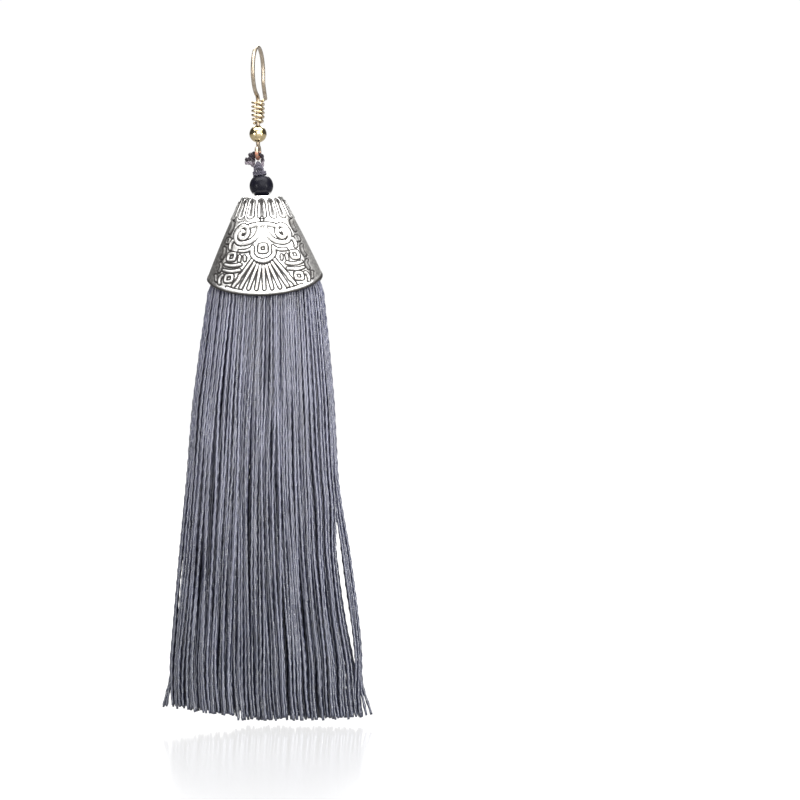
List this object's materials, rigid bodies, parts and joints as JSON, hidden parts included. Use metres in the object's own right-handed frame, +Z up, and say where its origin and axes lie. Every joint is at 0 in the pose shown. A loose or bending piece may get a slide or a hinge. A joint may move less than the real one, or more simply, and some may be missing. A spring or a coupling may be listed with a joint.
{
  "type": "tassel earring",
  "caption": "Drop earring on a fish-hook ear wire with a coil and ball, a round bead, a cast oval cap with raised ornament and a long cord tassel.",
  "frame": {"origin": "underside of the ear wire's arch, where the wire rests in the ear lobe", "axes": "+Z up as it hangs, +X to the right seen from the front, -Y towards the viewer"},
  "size_m": [0.0354, 0.0144, 0.1164],
  "materials": {
    "gilt_wire": "pale gilt, polished, slightly worn",
    "gilt_coil": "pale gilt, polished",
    "gilt_ball": "pale gilt, polished",
    "cord": "twisted grey cord, matte",
    "bead_black": "matte black",
    "cap_silver": "cast, antique silver finish, dark in the recesses",
    "fringe_cord": "twisted slate grey cord, matte"
  },
  "bodies": {
    "ear_wire": {"ear_hook": "gilt_wire", "hook_coil": "gilt_coil", "hook_ball": "gilt_ball"},
    "loop": {"cord_loop": "cord"},
    "drop": {"cord_knot": "cord", "bead": "bead_black", "cap": "cap_silver", "tassel": "fringe_cord"}
  },
  "joints": [
    {"name": "swing_fore_aft", "type": "hinge", "parent": "ear_wire", "child": "loop", "pos_m": [0, 0, -0.01778], "axis": [0.9848, -0.1736, 0], "range_deg": [-45, 45]},
    {"name": "swing_side", "type": "hinge", "parent": "loop", "child": "drop", "pos_m": [0, 0, -0.01968], "axis": [0.1736, 0.9848, 0], "range_deg": [-35, 35]}
  ]
}
